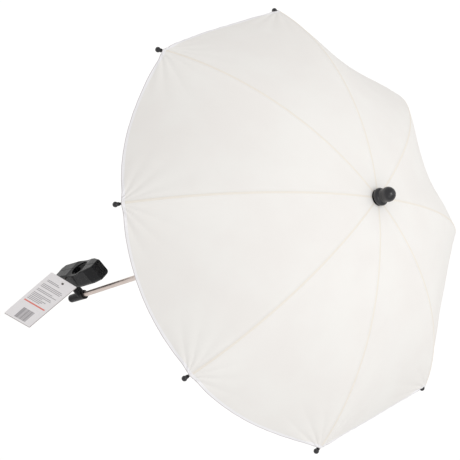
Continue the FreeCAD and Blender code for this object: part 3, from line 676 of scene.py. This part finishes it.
@dataclass
class Canopy:
    """Sewn cloth dome, cut for the work as eight gores that each lie over one rib."""

    axis: tuple[float, float] = (-36.0 * MM, 5.1726 * MM)
    centre_z: float = 255.971 * MM
    dome: float = 433.10 * MM
    cloth_radius: float = 435.669 * MM
    tip_radius: float = 350.0 * MM
    hole: float = 10.5 * MM
    hem_back: float = 12.7 * MM
    hem_drop: float = 16.8 * MM
    hem_radius: float = 325.8 * MM
    draw_power: float = 0.6
    thickness: float = 0.7 * MM
    relief: Relief = Relief()
    corner_pull: float = 3.2 * MM
    corner_half: float = 11.0 * MM
    corner_start: float = 0.94
    ribs: int = 8
    bands: tuple[Band, ...] = (
        Band("band_1", 0.0, 0.06, 0.92, (0.027, 0.025), 0.00044),
        Band("band_2", 0.06, 0.12, 0.70, (0.046, 0.025), 0.00092),
        Band("band_3", 0.12, 0.2, 0.59, (0.071, 0.034), 0.00195),
        Band("band_4", 0.2, 0.28, 0.51, (0.094, 0.034), 0.00275),
        Band("band_5", 0.28, 0.36, 0.45, (0.117, 0.034), 0.0035),
        Band("band_6", 0.36, 0.45, 0.40, (0.142, 0.038), 0.0049),
        Band("band_7", 0.45, 0.56, 0.345, (0.172, 0.046), 0.0072),
        Band("band_8", 0.56, 1.0, 0.29, (0.272, 0.185), 0.0400),
    )

    # Places of the mesh: rows from the crown to the hem, and columns from the seam to the panel's middle
    upper_rows: int = 50
    lower_rows: int = 34
    lower_start: float = 0.8
    lower_end: float = 0.955
    hem_rows: tuple[float, ...] = (0.965, 0.972, 0.977, 0.981, 0.986, 0.991, 0.996, 1.0)
    row_gap: float = 1e-3
    seam_columns: tuple[float, ...] = (0.0, 0.006, 0.012, 0.018, 0.024, 0.032, 0.042, 0.055, 0.07, 0.09)
    fold_columns: tuple[float, float, int] = (0.11, 0.36, 13)
    panel_columns: tuple[float, float, int] = (0.41, 1.0, 12)

    # Small steps: for slopes of the taut sheet and of the sewn cloth, off the hole's edge and off a seam
    sheet_step: float = 1e-4
    cloth_step: float = 4e-4
    hole_step: float = 2e-4
    seam_step: float = 1e-7

    def columns(self) -> np.ndarray:
        """Return places across a gore, from -1 to 1, close together over the rib."""
        side = np.concatenate([self.seam_columns, np.linspace(*self.fold_columns),
                               np.linspace(*self.panel_columns)])
        return np.concatenate([-side[:0:-1], side])

    def shares(self, band: Band) -> np.ndarray:
        """Return places down a band, where 0 is the crown and 1 the hem, close together at the hem."""
        whole = np.concatenate([np.linspace(0.0, self.lower_start, self.upper_rows, endpoint=False),
                                np.linspace(self.lower_start, self.lower_end, self.lower_rows),
                                self.hem_rows])
        inside = whole[(whole > band.start + self.row_gap) & (whole < band.end - self.row_gap)]
        return np.concatenate([[band.start], inside, [band.end]])

    def sheet(self, share: np.ndarray, turn: np.ndarray) -> tuple[np.ndarray, np.ndarray, np.ndarray]:
        """Find points of the taut sheet.

        Args:
            share: way from the crown to the hem, 0 to 1.
            turn: place round the crown, counted in ribs.

        Returns:
            The points, and the distances from the nearest rib's seam and from the hem.
        """
        half = math.pi / self.ribs
        tip_angle = math.asin(self.tip_radius / self.dome)
        hole = math.asin(self.hole / self.cloth_radius)
        rib_end = tip_angle - self.hem_back / self.dome
        hem_angle = math.acos((self.dome * math.cos(tip_angle) - self.hem_drop) / self.cloth_radius)
        rib_angle = hole + share * (rib_end - hole)
        mid_angle = hole + share * (hem_angle - hole)
        draw = 1 - self.hem_radius / (self.cloth_radius * math.sin(hem_angle))
        pull = 1 - draw * share ** self.draw_power

        rib_r, rib_z = self.cloth_radius * np.sin(rib_angle), self.cloth_radius * np.cos(rib_angle)
        mid_r, mid_z = pull * self.cloth_radius * np.sin(mid_angle), self.cloth_radius * np.cos(mid_angle)
        chord_r, width = rib_r * math.cos(half), rib_r * math.sin(half)
        rise_r, rise_z = mid_r - chord_r, mid_z - rib_z
        rise = np.hypot(rise_r, rise_z)
        bow = (width ** 2 + rise ** 2) / (2 * rise)
        spread = 2 * np.arctan2(rise, width)

        panel = np.floor(turn)
        way = (turn - panel) * 2 - 1
        lift = rise - bow + bow * np.cos(way * spread)
        out = chord_r + rise_r / rise * lift
        side = bow * np.sin(way * spread)
        up = rib_z + rise_z / rise * lift
        mid = (panel + 0.5) * 2 * half
        points = np.stack([self.axis[0] + out * np.cos(mid) - side * np.sin(mid),
                           self.axis[1] + out * np.sin(mid) + side * np.cos(mid),
                           self.centre_z + up], axis=-1)
        from_seam = (1 - np.abs(way)) * spread * bow
        at_rib = np.abs(way)
        length = self.cloth_radius * ((rib_end - hole) * at_rib + (hem_angle - hole) * (1 - at_rib))
        return points, from_seam, (1 - share) * length

    def surface(self, share: np.ndarray, turn: np.ndarray) -> np.ndarray:
        """Return points of the cloth's outer face."""
        points, from_seam, from_hem = self.sheet(share, turn)
        step = self.sheet_step
        along = self.sheet(np.minimum(share + step, 1.0), turn)[0] - self.sheet(share - step, turn)[0]
        across = self.sheet(share, turn + step)[0] - self.sheet(share, turn - step)[0]
        normal = unit(np.cross(along, across))
        lift = self.thickness + self.relief.height(share, turn, from_seam, from_hem)
        # The tips draw the corners of the cloth out a little
        pull = (self.corner_pull * np.exp(-(from_seam / self.corner_half) ** 2)
                * smooth(share, self.corner_start, 1.0))
        return points + normal * lift[..., None] + unit(along) * pull[..., None]

    def normals(self, share: np.ndarray, turn: np.ndarray) -> np.ndarray:
        """Return outward normals of the cloth's outer face."""
        step = self.cloth_step
        below = np.clip(share + step, 0.0, 1.0)
        above = np.clip(share - step, self.hole_step, 1.0)
        along = self.surface(below, turn) - self.surface(above, turn)
        across = self.surface(share, turn + step) - self.surface(share, turn - step)
        return unit(np.cross(along, across))

    @staticmethod
    def closed_faces(rows: int, cols: int) -> np.ndarray:
        """Join the points of an outer and an inner grid to a closed sheet.

        Args:
            rows: rows of each grid.
            cols: columns of each grid.

        Returns:
            Quads of the outer face, the inner face and the rim, as numbers of points.
        """
        count = rows * cols
        index = np.arange(count).reshape(rows, cols)
        outer = np.stack([index[:-1, :-1], index[1:, :-1], index[1:, 1:], index[:-1, 1:]], -1).reshape(-1, 4)
        inner = outer[:, ::-1] + count
        ring = np.concatenate([index[0, :-1], index[:-1, -1], index[-1, :0:-1], index[:0:-1, 0]])
        following = np.roll(ring, -1)
        rim = np.stack([ring, following, following + count, ring + count], axis=-1)
        return np.concatenate([outer, inner, rim])

    def gore(self, number: int, band: Band) -> bpy.types.Object:
        """Build one band of the gore over a rib as a closed sheet of even thickness.

        Args:
            number: the rib's number, from 1.
            band: the part of the gore to build.

        Returns:
            The new object.
        """
        shares, columns = np.clip(self.shares(band), self.hole_step, 1.0), self.columns()
        share, way = np.meshgrid(shares, columns, indexing="ij")
        # Points right on the seam are counted to the panel after it
        turn = np.where(way == 0, number - 1 + self.seam_step, number - 1 + way / 2)
        outer, normal = self.surface(share, turn), self.normals(share, turn)
        inner = outer - normal * self.thickness
        _, from_seam, from_hem = self.sheet(share, turn)
        uv = np.stack([np.sign(way) * from_seam, from_hem], axis=-1).reshape(-1, 2)

        name = f"canopy_gore_{number}_{band.name}"
        mesh = bpy.data.meshes.new(name)
        points = np.concatenate([outer.reshape(-1, 3), inner.reshape(-1, 3)])
        mesh.from_pydata(points.tolist(), [], self.closed_faces(*share.shape).tolist())
        layer = mesh.uv_layers.new(name="cloth")
        corner = np.array([loop.vertex_index for loop in mesh.loops]) % share.size
        layer.data.foreach_set("uv", uv[corner].astype(np.float32).ravel())
        mesh.polygons.foreach_set("use_smooth", np.ones(len(mesh.polygons), bool))
        outward = normal.reshape(-1, 3)
        mesh.normals_split_custom_set_from_vertices(np.concatenate([outward, -outward]).tolist())
        mesh.update()
        made = bpy.data.objects.new(name, mesh)
        bpy.context.scene.collection.objects.link(made)
        return made

    def build(self) -> None:
        """Build, dress and attach the eight gores, band by band."""
        material = CLOTH.material()
        for number, band in itertools.product(range(1, self.ribs + 1), self.bands):
            piece = self.gore(number, band)
            paint(piece, material)
            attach(piece, Body.rib(number))
            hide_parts("canopy")
            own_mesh(piece)
            LOG.info("sewed %s, %.4f square metres a side", piece.name, self.side_area(piece))

    @staticmethod
    def side_area(piece: bpy.types.Object) -> float:
        """Return half the area of a closed sheet."""
        return sum(face.area for face in piece.data.polygons) / 2


@dataclass
class CardTag:
    """Card that hangs from the clamp, with rounded corners and a slight curl. Angles are in degrees."""

    clamp_lean: float = 7.0
    hole_place: Place = (11.4 * MM, 35.0 * MM, -19.1 * MM)
    turn: float = 21.3
    lift: float = 30.0
    lean: float = -1.7
    width: float = 57.0 * MM
    length: float = 131.0 * MM
    wall: float = 0.6 * MM
    hole_drop: float = 9.0 * MM
    hole_side: float = 3.4 * MM
    hole: float = 1.5 * MM
    hole_sides: int = 24
    drill_length: float = 20.0 * MM
    corner: float = 2.0 * MM
    corner_steps: int = 5
    curl: float = 1.6 * MM
    curl_start: float = 20.0 * MM
    cuts: int = 19
    cut_reach: float = 0.45

    def frame_matrix(self) -> Matrix:
        """Return the card's place: its hole at the origin, its face along +Y and its length down -Z."""
        clamp, turn, lift, lean = (
            Matrix.Rotation(math.radians(angle), 4, axis)
            for angle, axis in ((-self.clamp_lean, "X"), (self.turn, "Z"),
                                (self.lift, "X"), (self.lean, "Y")))
        return clamp @ Matrix.Translation(self.hole_place) @ turn @ lift @ lean

    def flat_card(self) -> bpy.types.Object:
        """Cut the flat card with its rounded corners and its hole, and rows of points where it can bend."""
        deselect()
        bpy.ops.mesh.primitive_plane_add(size=1.0)
        card = bpy.context.active_object
        card.name = card.data.name = "tag_card"
        bpy.ops.object.mode_set(mode="EDIT")
        bpy.ops.transform.resize(value=(self.width, self.length, 1.0))
        bpy.ops.mesh.bevel(offset=self.corner, segments=self.corner_steps, affect="VERTICES")
        bpy.ops.object.mode_set(mode="OBJECT")
        self.punch(card, (-self.hole_side, self.length / 2 - self.hole_drop))
        bpy.ops.object.mode_set(mode="EDIT")
        for cut in np.linspace(-self.cut_reach, self.cut_reach, self.cuts):
            bpy.ops.mesh.select_all(action="SELECT")
            bpy.ops.mesh.bisect(plane_co=(0, cut * self.length, 0), plane_no=(0, 1, 0))
        bpy.ops.object.mode_set(mode="OBJECT")
        return card

    def punch(self, card: bpy.types.Object, place: tuple[float, float]) -> None:
        """Punch the hole for the pin through the flat card.

        Args:
            card: the flat card.
            place: centre of the hole on it.
        """
        deselect()
        bpy.ops.mesh.primitive_cylinder_add(vertices=self.hole_sides, radius=self.hole,
                                            depth=self.drill_length, location=(*place, 0.0))
        drill = bpy.context.active_object
        deselect()
        card.select_set(True)
        bpy.context.view_layer.objects.active = card
        hole = card.modifiers.new("hole", "BOOLEAN")
        hole.operation, hole.object, hole.solver = "DIFFERENCE", drill, "EXACT"
        bpy.ops.object.modifier_apply(modifier="hole")
        bpy.data.objects.remove(drill)

    def lay_print(self, card: bpy.types.Object) -> None:
        """Map the print onto the flat card, in metres from its top corner."""
        layer = card.data.uv_layers.new(name="card")
        for loop in card.data.loops:
            x, y, _ = card.data.vertices[loop.vertex_index].co
            layer.data[loop.index].uv = (self.width / 2 - x, self.length / 2 - y)

    def bend(self, card: bpy.types.Object) -> None:
        """Stand the flat card up with its hole at the origin, and curl its lower end."""
        for point in card.data.vertices:
            x, y, _ = point.co
            down = self.length / 2 - y
            share = max(0.0, down - self.curl_start) / (self.length - self.curl_start)
            point.co = (x + self.hole_side, self.curl * share ** 2, y - self.length / 2 + self.hole_drop)

    def thicken(self, card: bpy.types.Object) -> None:
        """Give the bent card its wall, put it in its place and turn its faces outwards."""
        wall = card.modifiers.new("wall", "SOLIDIFY")
        wall.thickness, wall.offset = self.wall, 0.0
        bpy.ops.object.modifier_apply(modifier="wall")
        card.data.transform(Matrix.Translation((0, self.wall / 2, 0)))
        card.data.transform(self.frame_matrix())
        bpy.ops.object.mode_set(mode="EDIT")
        bpy.ops.mesh.select_all(action="SELECT")
        bpy.ops.mesh.normals_make_consistent(inside=False)
        bpy.ops.object.mode_set(mode="OBJECT")

    def build(self) -> None:
        """Build, dress and attach the card."""
        card = self.flat_card()
        self.lay_print(card)
        self.bend(card)
        self.thicken(card)
        paint(card, CARD.material())
        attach(card, Body.TAG.value)
        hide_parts("hang_tag")
        LOG.info("cut %s", card.name)


@dataclass(frozen=True)
class Lamp:
    """Square soft lamp."""

    name: str
    place: Place
    size: float
    power: float

    def hang(self, target: Place) -> None:
        """Hang the lamp so that it points at a target."""
        data = bpy.data.lights.new(self.name, "AREA")
        data.shape, data.size, data.energy = "SQUARE", self.size, self.power
        made = bpy.data.objects.new(self.name, data)
        bpy.context.scene.collection.objects.link(made)
        made.location = self.place
        towards = Vector(target) - Vector(self.place)
        made.rotation_mode = "QUATERNION"
        made.rotation_quaternion = towards.to_track_quat("-Z", "Y")


@dataclass
class Studio:
    """White studio with a floor below the parasol, soft lamps and the camera of the photograph.

    The floor lies below the finial of a parasol that is turned over on its swivel.
    """

    floor_z: float = -0.82
    floor_half: float = 12.0
    floor_scale: float = 30.0
    floor_roughness: float = 0.9
    floor_glow: float = 0.25
    eye: Place = (920.3 * MM, 1878.773 * MM, 2580.172 * MM)
    right: Place = (-0.59224, -0.47216, 0.65293)
    up: Place = (0.74535, -0.62886, 0.22131)
    back: Place = (0.30610, 0.61773, 0.72437)
    focal: float = 1909.2
    image: int = 460
    sensor: float = 36.0
    clip: Range = (0.05, 60.0)
    sky: Colour = (1.0, 0.996, 0.986, 1.0)
    sky_light: float = 0.83
    mirrored_light: float = 0.5
    seen_light: float = 1.0
    target: Place = (-0.036, 0.01, 0.5)
    lamps: tuple[Lamp, ...] = (
        Lamp("key_lamp", (-0.2, 0.2, 3.0), 0.8, 9.0),
        Lamp("fill_lamp", (-0.8, 1.7, 2.3), 1.8, 4.0),
        Lamp("back_lamp", (-0.82, -1.42, 2.68), 2.4, 4.0),
    )

    def camera(self) -> None:
        """Place the camera as fitted to the photograph."""
        data = bpy.data.cameras.new("camera")
        data.sensor_width = self.sensor
        data.lens = self.focal / self.image * data.sensor_width
        data.clip_start, data.clip_end = self.clip
        made = bpy.data.objects.new("camera", data)
        bpy.context.scene.collection.objects.link(made)
        axes = Matrix((self.right, self.up, self.back)).transposed().to_4x4()
        made.matrix_world = Matrix.Translation(self.eye) @ axes
        bpy.context.scene.camera = made

    def floor(self) -> None:
        """Lay a pale floor that keeps the parasol's shadow."""
        deselect()
        bpy.ops.mesh.primitive_plane_add(size=2 * self.floor_half, location=(0, 0, self.floor_z))
        made = bpy.context.active_object
        made.name = "studio_floor"
        g = Graph("studio_floor")
        path = g.node("LightPath")
        seen = g.math("MAXIMUM", path.outputs["Is Camera Ray"], path.outputs["Is Transmission Ray"])
        speckle = g.noise(g.place(), self.floor_scale)
        g.feed(g.shader, {
            "Base Color": g.mix(speckle, tint(240, 240, 240), tint(243, 243, 243)),
            "Roughness": self.floor_roughness,
            "Specular IOR Level": 0.0,
            "Emission Color": WHITE,
            "Emission Strength": g.math("MULTIPLY", seen, self.floor_glow),
        })
        made.data.materials.append(g.material)

    def world(self) -> None:
        """Surround the scene with soft light that the camera sees as white."""
        world = bpy.data.worlds.new("studio")
        bpy.context.scene.world = world
        world.use_nodes = True
        tree = world.node_tree
        tree.nodes.clear()

        def light(colour: Colour, strength: float) -> bpy.types.Node:
            """Add a background of one colour."""
            made = tree.nodes.new("ShaderNodeBackground")
            made.inputs["Color"].default_value = colour
            made.inputs["Strength"].default_value = strength
            return made

        def choose(share: bpy.types.NodeSocket, low: bpy.types.Node, high: bpy.types.Node) -> bpy.types.Node:
            """Mix two lights by a share."""
            made = tree.nodes.new("ShaderNodeMixShader")
            for socket, source in enumerate((share, low.outputs[0], high.outputs[0])):
                tree.links.new(source, made.inputs[socket])
            return made

        path = tree.nodes.new("ShaderNodeLightPath")
        direct = tree.nodes.new("ShaderNodeMath")
        direct.operation = "MAXIMUM"
        tree.links.new(path.outputs["Is Camera Ray"], direct.inputs[0])
        tree.links.new(path.outputs["Is Transmission Ray"], direct.inputs[1])
        soft = choose(path.outputs["Is Glossy Ray"], light(self.sky, self.sky_light),
                      light(WHITE, self.mirrored_light))
        mixed = choose(direct.outputs[0], soft, light(WHITE, self.seen_light))
        out = tree.nodes.new("ShaderNodeOutputWorld")
        tree.links.new(mixed.outputs[0], out.inputs[0])

    def build(self) -> None:
        """Set up the camera, floor, world and lamps."""
        bpy.context.scene.view_settings.view_transform = "Standard"
        self.camera()
        self.floor()
        self.world()
        for lamp in self.lamps:
            lamp.hang(self.target)


def main() -> None:
    logging.basicConfig(level=logging.INFO, format="%(name)s: %(message)s")
    Studio().build()
    Hardware().dress()
    Canopy().build()
    CardTag().build()


if __name__ == "__main__":
    main()
